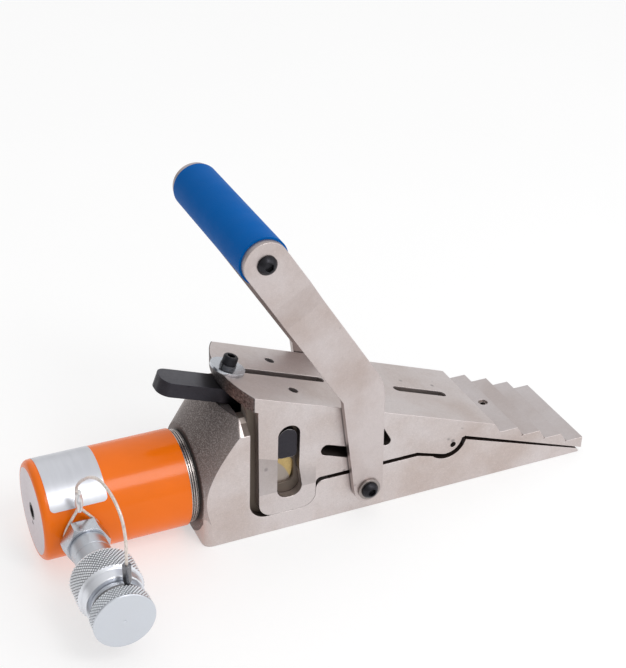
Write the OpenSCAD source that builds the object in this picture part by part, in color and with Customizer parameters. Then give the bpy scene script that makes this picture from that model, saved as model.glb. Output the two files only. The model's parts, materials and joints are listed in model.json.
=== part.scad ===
// Hydraulic wedge spreader. Two jaws lie one in the other, and a piston rod
// pushes a wedge forward that lifts the upper jaw straight up.
// Millimetres. +X runs to the tips, +Y to the left, +Z up. The origin is the
// middle of the lower jaw's sole. Lengths along X are laid out from the lower
// jaw's rear face and shifted by half of its length at the end.

/* [View] */
// node to draw, or all

/* [Jaws] */
// length of the lower jaw
jaw_l = 295; // [240:1:340]
// width of both jaws
jaw_w = 76; // [60:1:100]
// height of the lower jaw's rear block
block_h = 91.7; // [70:0.1:110]
// length of the rear block, up to the side pockets
block_l = 32.1; // [28:0.1:40]
// bevel along the rear block's two top edges
block_bevel = 9.2; // [3:0.1:14]
// radius of the block's turned rear cone where it starts
cone_r = 36; // [33:0.5:38]
// slope of the wedge and of the upper jaw's plate
slope = 20; // [12:1:26]
// thickness of the upper jaw's plate
plate_t = 10; // [6:0.5:14]
// height of the plate's top where it passes the tabs' rear edge
plate_h = 109.6; // [90:0.1:130]
// thickness of the upper jaw's side tabs
tab_t = 6; // [4:0.5:9]
// radius of the tabs' lower corners
tab_r = 10; // [4:0.5:18]
// gap between a tab and the lower jaw
tab_gap = 0.3; // [0.1:0.1:1]
// gap between the closed jaws' side edges
seam_gap = 3; // [0.5:0.1:4]
// half width of the channel that the wedge runs in
channel_y = 22; // [16:0.5:26]
// height of the channel's floor
channel_z = 14; // [8:0.5:20]

/* [Steps] */
// number of steps on the upper jaw's tip
step_n = 4; // [2:1:5]
// length of one step
step_l = 19.53; // [12:0.01:24]
// drop of one step
step_h = 7.8; // [5:0.1:10]
// height of the tip's lower corner
tip_h = 3; // [1:0.5:6]

/* [Wedge] */
// travel of the wedge
wedge_stroke = 62; // [40:1:70]
// width of the wedge
wedge_w = 43; // [30:0.5:43.4]
// length of the wedge
wedge_l = 110; // [80:1:130]
// gap between the wedge and what it slides on
wedge_gap = 0.3; // [0.1:0.1:0.6]
// width of the tongue bar
tongue_w = 20; // [14:0.5:26]
// thickness of the tongue bar
tongue_t = 10; // [6:0.5:12]
// width of the slots in the plate
slot_w = 7; // [6.4:0.1:9]

/* [Cylinder] */
// outer diameter of the cylinder
cyl_d = 66.6; // [56:0.1:69]
// length of the cylinder from its end face to the lower jaw
cyl_l = 104.4; // [90:0.1:140]
// height of the cylinder's axis above the sole
axis_z = 35.1; // [34:0.1:45]
// bore of the cylinder
bore_d = 44; // [36:0.5:48]
// diameter of the piston rod
rod_d = 25; // [20:0.5:28]
// length of the piston
piston_l = 15; // [10:0.5:18]
// running clearance of piston and rod on the radius
run_gap = 0.05; // [0.02:0.01:0.1]
// width of the rounded edge at the cylinder's end
cyl_edge = 4; // [1:0.5:6]
// width of the threaded ring ahead of the barrel
ring_l = 5.5; // [3:0.1:8]

/* [Coupler] */
// distance of the coupler's axis ahead of the cylinder's end face
coupler_in = 23; // [20:0.1:40]
// distance of the dust cap's face from the centre plane
coupler_l = 122.4; // [110:0.1:130]
// diameter of the coupler's collar
collar_d = 42.6; // [36:0.1:46]
// diameter of the dust cap's flange
cap_d = 38.8; // [34:0.1:44]
// diameter of the coupler's neck
neck_d = 20; // [16:0.1:22]
// size of the adapter's hexagon across its flats
hex_af = 27; // [22:0.5:30]
// diameter of the tether wire
wire_d = 2; // [1.5:0.1:3]

/* [Handle] */
// thickness of the handle's two arms
arm_t = 5; // [3:0.5:8]
// distance between the arms' inner faces at the grip
grip_l = 112; // [90:1:130]
// diameter of the grip
grip_d = 31.6; // [24:0.1:36]
// width of an arm's upper part
arm_w = 29; // [22:0.5:34]
// radius of an arm's lower end
arm_end_r = 10.5; // [9:0.5:14]
// distance of the arms' lower inner faces from the jaw's sides
arm_gap = 1; // [0.5:0.1:2]

/* [Hidden] */
$fn = 64;
e = 0.01;
big = 400;
half_w = jaw_w / 2;

// upper jaw, stations from the lower jaw's rear face
tab_s0 = 37.6;
tab_s1 = 80.2;
tab_lean = 1.7;
neck_r = 3.5;
tab_z0 = channel_z;
plate_end = jaw_l - 75.7;
edge_z = 35.6;
edge_end = jaw_l - 137.4;
nose = [jaw_l - 114, 40.5];
nose_r = 11.8;
nose_out = nose + [11.69, -1.56];
nose_corner = nose + [9.23, -15.5];
nose_hole = [jaw_l - 109, 34.9];
nose_hole_r = 2.25;
tip_in = [jaw_l - 99.6, 39.9];
solid_s = jaw_l - 82;
plate_rear_r = 71;
plate_rear = 23.5;
window_r = 7.6;
window_s = [51.8, 67.6];
window_z = [25.6, 83.4];
window_step = 2.4;
side_slot = [87.4, 56.6];
side_slot_l = 38.6;
side_slot_w = 8.4;
short_slot = [jaw_l - 162.4, 51.9];
short_slot_l = 15;
short_slot_w = 6.6;
step_in = 4.93;
step_top = 35.6;
step_first = plate_end + 4.9;
last_step_l = 14.6;
tread_s = plate_end + 13.2;
tread_top = 34.4;
set_screw_r = 3.5;
set_screw_s = 70;
set_screw_y = 20;

// lower jaw
bulkhead_l = 28;
channel_end = jaw_l - 81;
pocket_z = tab_z0 - tab_gap;
pocket_s = tab_s1 + tab_gap;
wall_y = half_w - tab_t - tab_gap;
lower_edge_z = edge_z - seam_gap;
recess_r = 15.8;
lower_tip_in = [jaw_l - 98.5, 36.6];
pivot = [117.7, 20.4];
pad_s = [42, 66.2];
pad_z = [33.3, 54];
pad_r = 6;
pad_y = channel_y + 7.7;
block_s = [52.6, 66.1];
block_z = [57.3, 79.6];
block_r = 3;
block_in = 1.5;
block_pin = [59.3, 68.5];
block_pin_r = 4;
spigot_r = 27;
spigot_l = 18;

// wedge, at rest
wedge_s0 = 40;
lift_s = 31;
lift_gap = 0.1;
tongue_back = 46;
tongue_front = 105;
tongue_r = 8;
rod_tip_r = 8;
rod_tip_l = 16;
washer_d = 24;
washer_t = 2;
lock_d = 11;
lock_t = 1.6;

// cylinder
end_plug_r = 29;
end_plug_t = 12.4;
gasket_t = 0.9;
boss_r = 14;
boss_l = 12;
piston_s = end_plug_t + boss_l + 1 - cyl_l;
gland_s = 4;
seal_s = gland_s + 4;
seal_l = 5;
seal_t = 4;
guide_r = 3;
guide_head_r = 7.2;
guide_head_l = 6;
guide_end = 26;
guide_screw_r = 6;
guide_socket = 8;
key_hole_r = 1.6;
key_hole_z = 9.2;
hollow_r = 7.6;
hollow_end = 30;
spring_wire = 2;
spring_turns = 10;
port_r = 7;

// coupler, stations from the centre plane towards -Y
coupler_s = cyl_l - coupler_in;
adapter_y = cyl_d / 2 + 0.7;
hex_y = adapter_y + 4.6;
neck_y = hex_y + 10.4;
collar_y = coupler_l - 48.4;
knurl_y = collar_y + 5;
sleeve_y = collar_y + 21;
collar_end_y = coupler_l - 18.4;
flange_y = coupler_l - 9.9;
eye_neck_r = 10.4;
stub_r = 8;
stub_l = 8;
oil_r = 3;
nipple_r = 11.5;
cap_in_r = 14.2;
cap_hub_r = 15.7;
cap_gap = 0.3;
ferrule_d = 5.5;
ferrule_l = 14;
strap_r = 17.4;
strap_y = [109.2, 112];
crimp = [-0.95, -36.2];
crimp_z = [55, 69.5];
crimp_r = 2;
crimp_pitch = 1.05;

// handle
grip_c = [32.3, 218.2];
elbow_in = [95.4, 95.4];
elbow_out = [125.4, 104.5];
elbow_r = 41;
arm_low_y = half_w + arm_gap;
bend_t = [30, 54, 138];
bend_drop = 9;
lean_back = 57;
screw_d = 8;
grip_head_d = 14;
grip_head_h = 4.4;
pivot_head_d = 13.2;
pivot_head_h = 4.2;
pivot_washer_d = 16;
pivot_washer_t = 1.6;
friction_d = 18;

// colours
steel = [0.72, 0.70, 0.67];
dark = [0.20, 0.20, 0.21];
black = [0.08, 0.08, 0.09];
orange = [0.93, 0.36, 0.08];
zinc = [0.72, 0.75, 0.80];
bronze = [0.66, 0.50, 0.25];
blue = [0.02, 0.32, 0.70];
rubber = [0.05, 0.05, 0.05];

function plate_z(s) = plate_h - tan(slope) * (s - tab_s0);
function under_z(s) = plate_z(s) - plate_t / cos(slope);
function unit(v) = v / norm(v);

module from_rear() {
  translate([-jaw_l / 2, 0, 0]) children();
}

module both_sides() {
  children();
  mirror([0, 1, 0]) children();
}

// a side outline given a thickness between two Y planes
module slab(y0, y1) {
  translate([0, y1, 0]) rotate([90, 0, 0]) linear_extrude(y1 - y0) children();
}

// local origin on the plate's top at station s, Z along its normal
module on_plate(s) {
  translate([s, 0, plate_z(s)]) rotate([0, slope, 0]) children();
}

// a round bar on the cylinder's axis
module bar_x(s0, s1, r) {
  translate([s0, 0, axis_z]) rotate([0, 90, 0]) cylinder(h = s1 - s0, r = r);
}

// a turned stage on the coupler's axis, from y0 out to y1
module bar_y(y0, y1, r1, r2) {
  translate([-coupler_s, -y0, axis_z]) rotate([90, 0, 0])
    cylinder(h = y1 - y0, r1 = r1, r2 = r2);
}

// a rounded corner's patch: taken off at an outer corner p, added at an inner one
module corner_patch(p, a, b, r) {
  u = unit(a - p);
  v = unit(b - p);
  h = acos(u * v) / 2;
  c = p + unit(u + v) * r / sin(h);
  t = r / tan(h);
  difference() {
    polygon([p - (u + v), p + u * t, c, p + v * t]);
    translate(c) circle(r = r);
  }
}

module slot_2d(l, w) {
  translate([0, -w / 2]) square([l, w]);
  circle(d = w);
  translate([l, 0]) circle(d = w);
}

// jaws

module lower_side() {
  difference() {
    polygon([
      [0, 0], [jaw_l, 0], [jaw_l, 1.2], [jaw_l - 1.5, tip_h], lower_tip_in,
      [nose[0], nose[1] - recess_r + 1], [edge_end + 0.3, lower_edge_z],
      [block_l, lower_edge_z], [block_l, block_h], [0, block_h]
    ]);
    translate(nose) circle(r = recess_r);
  }
}

module pocket_side() {
  difference() {
    translate([block_l, pocket_z]) square([pocket_s - block_l, big]);
    corner_patch([block_l, pocket_z], [block_l, 60], [60, pocket_z], tab_r + 3);
    corner_patch([pocket_s, pocket_z], [pocket_s, 60], [60, pocket_z], tab_r + tab_gap);
  }
  corner_patch([pocket_s, lower_edge_z], [pocket_s, 0], [big, lower_edge_z], 6);
}

module wall_side() {
  polygon([
    [block_l - e, channel_z - 2], [tab_s1 - tab_gap, channel_z - 2],
    [tab_s1 - tab_gap, under_z(tab_s1) - 1], [block_l - e, under_z(block_l) - 1]
  ]);
}

module lower_jaw() {
  color(steel) from_rear() difference() {
    union() {
      intersection() {
        slab(-half_w, half_w) lower_side();
        union() {
          translate([0, 0, axis_z]) rotate([0, 90, 0])
            cylinder(h = block_l + 8, r1 = cone_r, r2 = cone_r + block_l + 8);
          translate([block_l, -big, -e]) cube([big, 2 * big, big]);
          rear_foot();
        }
      }
      slab(-wall_y, wall_y) wall_side();
    }
    both_sides() {
      slab(wall_y, half_w + 1) pocket_side();
      block_bevel_cut();
      slab(channel_y - 1, wall_y + 1) pad_side();
      translate([pivot[0], half_w - 13, pivot[1]]) rotate([-90, 0, 0])
        cylinder(h = 14, d = screw_d);
      guide_block_pins();
    }
    translate([bulkhead_l, -channel_y, channel_z])
      cube([channel_end - bulkhead_l, 2 * channel_y, big]);
    on_plate(lift_s) translate([-60, -tongue_w / 2 - 1, -plate_t - wedge_gap - tongue_t - 0.6])
      cube([60 + block_l, tongue_w + 2, big]);
    bar_x(-1, spigot_l, spigot_r);
    bar_x(0, bulkhead_l + 1, rod_d / 2 + 0.5);
  }
}

// the part of the rear block below the axis, square but for rounded corners
module rear_foot() {
  linear_extrude(axis_z) difference() {
    translate([0, -half_w]) square([block_l + 1, jaw_w]);
    corner_patch([0, half_w], [50, half_w], [0, 0], 6);
    mirror([0, 1]) corner_patch([0, half_w], [50, half_w], [0, 0], 6);
  }
}

module block_bevel_cut() {
  translate([-1, half_w, block_h - block_bevel]) rotate([-45, 0, 0])
    translate([0, -big / 2, 0]) cube([block_l + 1 + e, big, 20]);
}

module guide_block_pins() {
  translate([block_pin[0], channel_y + 1, block_pin[1]]) rotate([-90, 0, 0])
    cylinder(h = half_w, r = block_pin_r);
}

// outline of a bronze pad and of its hole in the channel's wall
module pad_side() {
  rounded_side(pad_s, pad_z, pad_r);
}

module rounded_side(s, z, r) {
  difference() {
    translate([s[0], z[0]]) square([s[1] - s[0], z[1] - z[0]]);
    for (a = [0, 1], b = [0, 1])
      corner_patch([s[a], z[b]], [s[1 - a], z[b]], [s[a], z[1 - b]], r);
  }
}

module upper_side() {
  v = [for (i = [0:step_n - 1]) step_first + i * step_l];
  z = [for (i = [0:step_n - 1]) step_top - i * step_h];
  steps = [for (i = [0:step_n - 1]) for (k = [0, 1])
    [v[i] + k * (i == step_n - 1 ? last_step_l : step_l - step_in), z[i]]];
  difference() {
    polygon(concat(
      [[plate_rear - 4, plate_z(plate_rear - 4)], [plate_end, 43.5]],
      steps,
      [
        [v[step_n - 1] + last_step_l, tip_h], tip_in, nose_out, nose_corner,
        [edge_end, edge_z], [tab_s1 + neck_r, edge_z], [tab_s1, edge_z - neck_r],
        [tab_s1, tab_z0], [tab_s0 + tab_lean, tab_z0],
        [tab_s0, under_z(tab_s0)], [plate_rear - 10, under_z(plate_rear - 10)]
      ]
    ));
    corner_patch(nose_corner, [edge_end, edge_z], nose_out, nose_r);
    translate([tab_s1 + neck_r, edge_z - neck_r]) circle(r = neck_r);
    corner_patch([tab_s0 + tab_lean, tab_z0], [tab_s0, under_z(tab_s0)], [60, tab_z0], tab_r);
    corner_patch([tab_s1, tab_z0], [tab_s1, 60], [60, tab_z0], tab_r);
  }
}

// everything under the plate's lower face
module under_plate(s0, s1) {
  polygon([
    [s0, -5], [s1, -5], [s1, under_z(s1)], [s0, under_z(s0)]
  ]);
}

module upper_jaw() {
  color(steel) from_rear() difference() {
    slab(-half_w, half_w) upper_side();
    slab(-channel_y - tab_gap, channel_y + tab_gap) under_plate(-20, solid_s);
    slab(-half_w + tab_t, half_w - tab_t) under_plate(-20, tab_s1 + tab_gap);
    plate_rear_cut();
    slab(-half_w - 1, half_w + 1) window_2d();
    slab(-half_w - 1, half_w + 1) translate(side_slot) rotate(-slope)
      slot_2d(side_slot_l, side_slot_w);
    slab(-half_w - 1, half_w + 1) translate(short_slot) rotate(120)
      slot_2d(short_slot_l, short_slot_w);
    translate([nose_hole[0], -half_w - 1, nose_hole[1]]) rotate([-90, 0, 0])
      cylinder(h = jaw_w + 2, r = nose_hole_r);
    plate_slot(27.5, 101.7);
    plate_slot(jaw_l - 138.4, jaw_l - 95.3);
    both_sides() on_plate(set_screw_s) translate([0, set_screw_y, -plate_t - 1])
      cylinder(h = plate_t + 2, r = set_screw_r);
    translate([tread_s, 0, 20]) cylinder(h = 20, r = set_screw_r);
    for (i = [1:step_n - 1])
      translate([step_first + i * step_l, -half_w - 1, step_top - i * step_h])
        rotate([-90, 0, 0]) cylinder(h = jaw_w + 2, r = 0.8);
  }
}

// the window widens a little towards its foot
module window_2d() {
  s = [window_s[0], window_s[1], window_s[1] + window_step];
  z = window_z;
  difference() {
    polygon([
      [s[0], z[0]], [s[2], z[0]], [s[2], z[0] + window_r],
      [s[1], z[0] + 3 * window_r], [s[1], z[1]], [s[0], z[1]]
    ]);
    corner_patch([s[0], z[0]], [s[0], z[1]], [s[1], z[0]], window_r);
    corner_patch([s[2], z[0]], [s[2], z[1]], [s[0], z[0]], window_r);
    corner_patch([s[0], z[1]], [s[0], z[0]], [s[1], z[1]], window_r);
    corner_patch([s[1], z[1]], [s[1], z[0]], [s[0], z[1]], window_r);
  }
}

// the plate's rear edge is a shallow arc seen from above
module plate_rear_cut() {
  translate([0, 0, 60]) linear_extrude(80) difference() {
    translate([-60, -half_w - 1]) square([96, jaw_w + 2]);
    translate([plate_rear + plate_rear_r, 0]) circle(r = plate_rear_r, $fn = 128);
  }
}

module plate_slot(s0, s1) {
  on_plate(s0) translate([slot_w / 2, 0, -plate_t - 2]) linear_extrude(plate_t + 4)
    slot_2d((s1 - s0) / cos(slope) - slot_w, slot_w);
}

// wedge

module wedge() {
  color(dark) from_rear() difference() {
    slab(-wedge_w / 2, wedge_w / 2) polygon([
      [wedge_s0, channel_z + wedge_gap], [wedge_s0 + wedge_l, channel_z + wedge_gap],
      [wedge_s0 + wedge_l, under_z(wedge_s0 + wedge_l) - wedge_gap],
      [wedge_s0, under_z(wedge_s0) - wedge_gap]
    ]);
    on_plate(lift_s) translate([0, -tongue_w / 2 - 0.1, -plate_t - wedge_gap - tongue_t])
      cube([tongue_front + 0.1, tongue_w + 0.2, 40]);
    bar_x(wedge_s0 - 1, wedge_s0 + rod_tip_l, rod_tip_r);
  }
}

module slide_pads() {
  color(bronze) from_rear() both_sides() slab(wedge_w / 2 + wedge_gap, pad_y) pad_side();
}

module tongue_bar() {
  color(dark) from_rear() on_plate(lift_s) difference() {
    translate([0, 0, -plate_t - wedge_gap - tongue_t]) linear_extrude(tongue_t) {
      for (y = [-1, 1]) translate([tongue_r - tongue_back, y * (tongue_w / 2 - tongue_r)])
        circle(r = tongue_r);
      translate([-tongue_back, tongue_r - tongue_w / 2])
        square([tongue_r, tongue_w - 2 * tongue_r]);
      translate([tongue_r - tongue_back, -tongue_w / 2])
        square([tongue_back - tongue_r + tongue_front, tongue_w]);
    }
    translate([0, 0, -50]) cylinder(h = 60, r = 3);
  }
}

module guide_blocks() {
  color(dark) from_rear() both_sides() {
    slab(wall_y, half_w - block_in) block_side();
    intersection() {
      guide_block_pins();
      slab(0, wall_y + e) translate([40, 50]) square([40, 40]);
    }
  }
}

module block_side() {
  r = (block_s[1] - block_s[0]) / 2;
  rounded_side(block_s, [block_z[0], block_z[1] - r], block_r);
  translate([block_s[0] + r, block_z[1] - r]) circle(r = r);
  translate([block_s[0], block_z[1] - r - 4]) square([2 * r, 4]);
}

// screws

module socket(af, depth) {
  translate([0, 0, -depth]) linear_extrude(depth + 1) circle(d = af / cos(30), $fn = 6);
}

module cap_screw(d, head_d, head_h, l, af) {
  difference() {
    union() {
      cylinder(h = head_h, d = head_d);
      translate([0, 0, -l]) cylinder(h = l + e, d = d);
    }
    translate([0, 0, head_h]) socket(af, head_h / 2);
  }
}

module button_screw(d, head_d, head_h, l, af) {
  ball = (head_d * head_d / 4 + head_h * head_h) / (2 * head_h) + 0.4;
  difference() {
    union() {
      intersection() {
        cylinder(h = head_h, d = head_d);
        translate([0, 0, head_h - ball]) sphere(r = ball);
      }
      translate([0, 0, -l]) cylinder(h = l + e, d = d);
    }
    translate([0, 0, head_h]) socket(af, head_h / 2);
  }
}

module ring(d, hole, t) {
  difference() {
    cylinder(h = t, d = d);
    translate([0, 0, -1]) cylinder(h = t + 2, d = hole);
  }
}

module lift_washer() {
  color(zinc) from_rear() on_plate(lift_s) translate([0, 0, lift_gap])
    ring(washer_d, 6.4, washer_t);
}

module lift_lock_washer() {
  color(zinc) from_rear() on_plate(lift_s) translate([0, 0, lift_gap + washer_t])
    difference() {
      ring(lock_d, 6.2, lock_t);
      rotate(200) translate([0, -0.4, -1]) cube([10, 0.8, 4]);
    }
}

module lift_screw() {
  color(black) from_rear() on_plate(lift_s) translate([0, 0, lift_gap + washer_t + lock_t])
    cap_screw(6, 10, 6, 24, 5);
}

module tread_set_screw() {
  color(black) from_rear() translate([tread_s, 0, tread_top]) difference() {
    translate([0, 0, -6.5]) cylinder(h = 6.5, r = set_screw_r);
    socket(3.5, 3);
  }
}

module plate_set_screws() {
  color(black) from_rear() both_sides() on_plate(set_screw_s) translate([0, set_screw_y, -2]) difference() {
    translate([0, 0, 2 - plate_t]) cylinder(h = plate_t - 2, r = set_screw_r);
    socket(3.5, 3);
  }
}

module nose_pins() {
  color(dark) from_rear() both_sides() translate([nose_hole[0], channel_y + tab_gap, nose_hole[1]])
    rotate([-90, 0, 0]) cylinder(h = half_w - 3 - channel_y - tab_gap, r = nose_hole_r);
}

// cylinder

module cylinder_barrel() {
  color(orange) from_rear() difference() {
    union() {
      intersection() {
        bar_x(-cyl_l, -ring_l - gasket_t, cyl_d / 2);
        translate([-cyl_l, 0, axis_z]) rotate([0, 90, 0]) rotate_extrude() barrel_edge();
      }
      bar_x(-ring_l - 2, spigot_l, spigot_r);
    }
    bar_x(-cyl_l - 1, -cyl_l + end_plug_t, end_plug_r);
    bar_x(-cyl_l, spigot_l + 1, bore_d / 2);
    bar_y(0, cyl_d, port_r, port_r);
  }
}

module barrel_edge() {
  difference() {
    square([cyl_d / 2 + 1, cyl_l]);
    corner_patch([cyl_d / 2, 0], [0, 0], [cyl_d / 2, 50], cyl_edge);
    translate([cyl_d / 2, -1]) square([2, cyl_l + 2]);
  }
}

module end_plug() {
  color(zinc) from_rear() difference() {
    bar_x(-cyl_l, -cyl_l + end_plug_t, end_plug_r);
    bar_x(-cyl_l - 1, -cyl_l + end_plug_t + 1, guide_screw_r);
    translate([-cyl_l - 1, 0, axis_z - key_hole_z]) rotate([0, 90, 0])
      cylinder(h = 6, r = key_hole_r);
  }
}

module lock_ring() {
  color(steel) from_rear() difference() {
    bar_x(-ring_l - gasket_t, -gasket_t, cyl_d / 2 - 1.4);
    bar_x(-20, 20, spigot_r);
  }
}

module jaw_gasket() {
  color(rubber) from_rear() difference() {
    bar_x(-gasket_t, 0, cyl_d / 2 - 1.9);
    bar_x(-20, 20, spigot_r);
  }
}

module rod_gland() {
  color(bronze) from_rear() difference() {
    bar_x(gland_s, spigot_l, bore_d / 2);
    bar_x(-20, 40, rod_d / 2 + run_gap);
    bar_x(seal_s, seal_s + seal_l, rod_d / 2 + seal_t);
  }
}

module rod_seal() {
  color(rubber) from_rear() difference() {
    bar_x(seal_s, seal_s + seal_l, rod_d / 2 + seal_t);
    bar_x(-20, 40, rod_d / 2 + run_gap);
  }
}

module piston() {
  color(steel) from_rear() difference() {
    union() {
      bar_x(piston_s, piston_s + piston_l, bore_d / 2 - run_gap);
      bar_x(piston_s - boss_l, piston_s + e, boss_r);
    }
    difference() {
      bar_x(piston_s + 5, piston_s + 5 + seal_l, bore_d / 2 + 1);
      bar_x(piston_s + 4, piston_s + 6 + seal_l, bore_d / 2 - seal_t);
    }
    bar_x(piston_s - 20, piston_s + 20, guide_r + 0.3);
  }
}

module piston_seal() {
  color(rubber) from_rear() difference() {
    bar_x(piston_s + 5, piston_s + 5 + seal_l, bore_d / 2 - run_gap);
    bar_x(piston_s + 4, piston_s + 6 + seal_l, bore_d / 2 - seal_t);
  }
}

module piston_rod() {
  color(steel) from_rear() difference() {
    union() {
      bar_x(piston_s + piston_l, wedge_s0, rod_d / 2);
      bar_x(wedge_s0 - e, wedge_s0 + rod_tip_l, rod_tip_r);
    }
    bar_x(piston_s, hollow_end, hollow_r);
  }
}

module spring_guide() {
  color(zinc) from_rear() difference() {
    union() {
      bar_x(-cyl_l, -cyl_l + end_plug_t, guide_screw_r);
      bar_x(-cyl_l, guide_end, guide_r);
      bar_x(guide_end - guide_head_l, guide_end, guide_head_r);
    }
    translate([-cyl_l, 0, axis_z]) rotate([0, -90, 0]) socket(guide_socket, 5);
  }
}

// a wound wire as one unbroken tube round a list of points
function tangent(q, i) = unit(q[min(i + 1, len(q) - 1)] - q[max(i - 1, 0)]);
function normals(q, i, acc) = i == len(q) ? acc :
  let(t = tangent(q, i), m = acc[len(acc) - 1])
  normals(q, i + 1, concat(acc, [unit(m - (m * t) * t)]));

module tube(q, r, m, n0) {
  n = len(q);
  nn = normals(q, 1, [unit(n0 - (n0 * tangent(q, 0)) * tangent(q, 0))]);
  pts = [for (i = [0:n - 1]) for (k = [0:m - 1])
    q[i] + r * (cos(360 * k / m) * nn[i] + sin(360 * k / m) * cross(tangent(q, i), nn[i]))];
  near = [for (i = [0:n - 2]) for (k = [0:m - 1])
    [i * m + k, (i + 1) * m + k, (i + 1) * m + (k + 1) % m]];
  far = [for (i = [0:n - 2]) for (k = [0:m - 1])
    [i * m + k, (i + 1) * m + (k + 1) % m, i * m + (k + 1) % m]];
  ends = [[for (k = [0:m - 1]) k], [for (k = [m - 1:-1:0]) (n - 1) * m + k]];
  polyhedron(pts, concat(near, far, ends));
}

module return_spring() {
  r = hollow_r - 0.4 - spring_wire / 2;
  s0 = piston_s + piston_l + spring_wire / 2;
  l = guide_end - guide_head_l - spring_wire / 2 - s0;
  q = [for (i = [0:8 * spring_turns])
    [s0 + l * i / (8 * spring_turns), r * sin(45 * i), axis_z + r * cos(45 * i)]];
  echo(least_gap_between_turns = l / spring_turns - spring_wire);
  color(steel) from_rear() tube(q, spring_wire / 2, 6, [0, 0, 1]);
}

// coupler

module coupler_adapter() {
  color(zinc) from_rear() difference() {
    union() {
      bar_y(bore_d / 2 + 1, adapter_y + e, port_r, port_r);
      bar_y(adapter_y, hex_y + e, eye_neck_r, eye_neck_r);
      intersection() {
        translate([-coupler_s, -hex_y, axis_z]) rotate([90, 0, 0])
          linear_extrude(neck_y - hex_y) circle(d = hex_af / cos(30), $fn = 6);
        bar_y(hex_y, neck_y, hex_af / 2 + 7, hex_af / 2 + 0.4);
      }
      bar_y(neck_y - e, neck_y + stub_l, stub_r, stub_r);
    }
    bar_y(0, neck_y + 2 * stub_l, oil_r, oil_r);
  }
}

module coupler_body() {
  color(zinc) from_rear() difference() {
    union() {
      bar_y(neck_y, collar_y - 0.3, neck_d / 2, neck_d / 2);
      bar_y(collar_y - 1, collar_end_y - 14, nipple_r, nipple_r);
    }
    bar_y(0, neck_y + stub_l, stub_r, stub_r);
    bar_y(0, coupler_l, oil_r, oil_r);
  }
}

module coupler_collar() {
  r = collar_d / 2;
  color(zinc) from_rear() difference() {
    union() {
      bar_y(collar_y, knurl_y, r - 3.6, r);
      bar_y(knurl_y, sleeve_y, r, r);
      bar_y(sleeve_y, sleeve_y + 2, r, r - 2);
      bar_y(sleeve_y + 2 - e, collar_end_y, r - 2, r - 2.6);
    }
    bar_y(0, collar_end_y, nipple_r + run_gap, nipple_r + run_gap);
    bar_y(collar_end_y - 13, collar_end_y + 1, cap_in_r + 0.3, cap_in_r + 0.3);
  }
}

module dust_cap() {
  color(zinc) from_rear() {
    bar_y(collar_end_y - 10, collar_end_y + 1, cap_in_r, cap_in_r);
    bar_y(collar_end_y + cap_gap, flange_y, cap_hub_r, cap_hub_r);
    bar_y(flange_y - e, coupler_l, cap_d / 2, cap_d / 2);
  }
}

// tether: hand-chosen route from the ferrule over the arch to the eye behind the
// hexagon, with X from the coupler's axis
route = [
  [6, -110.2, 64], [6, -110.2, 67], [6, -110.2, 70], [6.5, -109, 84], [6, -104, 97],
  [4.2, -94, 105], [1.8, -80, 106.8], [0.3, -65, 100.1], [-0.7, -49, 87.4],
  [-1.7, -39.6, 77.6], [-2, -36.2, 70.5], [-2, -36.2, 62], [-2, -36.2, 56.5],
  [-6, -36.2, 49.8], [-10, -36.2, 42.6], [-12, -36.2, 35.1], [-10.2, -36.2, 28.2],
  [-5.6, -36.2, 24.2], [0, -36.2, 23], [5.6, -36.2, 24.2], [10.2, -36.2, 28.2],
  [12, -36.2, 35.1], [10, -36.2, 42.6], [5, -36.2, 49.8], [0.1, -36.2, 56.5],
  [0.1, -36.2, 62], [0.1, -36.2, 68]
];
function catmull(p, i, t) =
  let(a = p[max(i - 1, 0)], b = p[i], c = p[i + 1], d = p[min(i + 2, len(p) - 1)])
  0.5 * (2 * b + (c - a) * t + (2 * a - 5 * b + 4 * c - d) * t * t
    + (3 * b - a - 3 * c + d) * t * t * t);
function smooth_route(p, n) = concat(
  [for (i = [0:len(p) - 2]) for (k = [0:n - 1]) catmull(p, i, k / n)],
  [p[len(p) - 1]]);

module from_coupler() {
  from_rear() translate([-coupler_s, 0, 0]) children();
}

module tether_wire() {
  color(zinc) from_coupler() tube(smooth_route(route, 3), wire_d / 2, 8, [1, 0, 0]);
}

module tether_crimp() {
  h = crimp_z[1] - crimp_z[0];
  color(zinc) from_coupler() difference() {
    translate([crimp[0], crimp[1], crimp_z[0]]) linear_extrude(h) {
      translate([-1, -crimp_r]) square([2, 2 * crimp_r]);
      for (x = [-1, 1]) translate([x, 0]) circle(r = crimp_r);
    }
    translate([crimp[0], crimp[1], crimp_z[0] - 1]) linear_extrude(h + 2)
      for (x = [-1, 1]) translate([x * crimp_pitch, 0]) circle(d = wire_d + 0.04);
  }
}

module tether_ferrule() {
  color(black) from_coupler() difference() {
    union() {
      translate(route[0] - [0, 0, ferrule_l]) cylinder(h = ferrule_l, d = ferrule_d);
      translate([coupler_s, 0, 0]) bar_y(strap_y[0], strap_y[1], strap_r, strap_r);
    }
    translate([coupler_s, 0, 0]) {
      bar_y(collar_end_y, coupler_l, cap_hub_r, cap_hub_r);
      bar_y(flange_y - cap_gap, coupler_l + 1, cap_d / 2 + cap_gap, cap_d / 2 + cap_gap);
    }
  }
}

// handle

module arm_side() {
  a = unit([grip_c[1] - elbow_in[1], elbow_in[0] - grip_c[0]]);
  difference() {
    union() {
      translate(grip_c) circle(d = arm_w);
      translate(pivot) circle(r = arm_end_r);
      polygon([
        grip_c - a * arm_w / 2, elbow_in, pivot + [-arm_end_r, -1.5],
        pivot + [arm_end_r, 0], elbow_out, grip_c + a * arm_w / 2
      ]);
    }
    corner_patch(elbow_out, pivot + [arm_end_r, 0], grip_c + a * arm_w / 2, elbow_r);
  }
}

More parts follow.
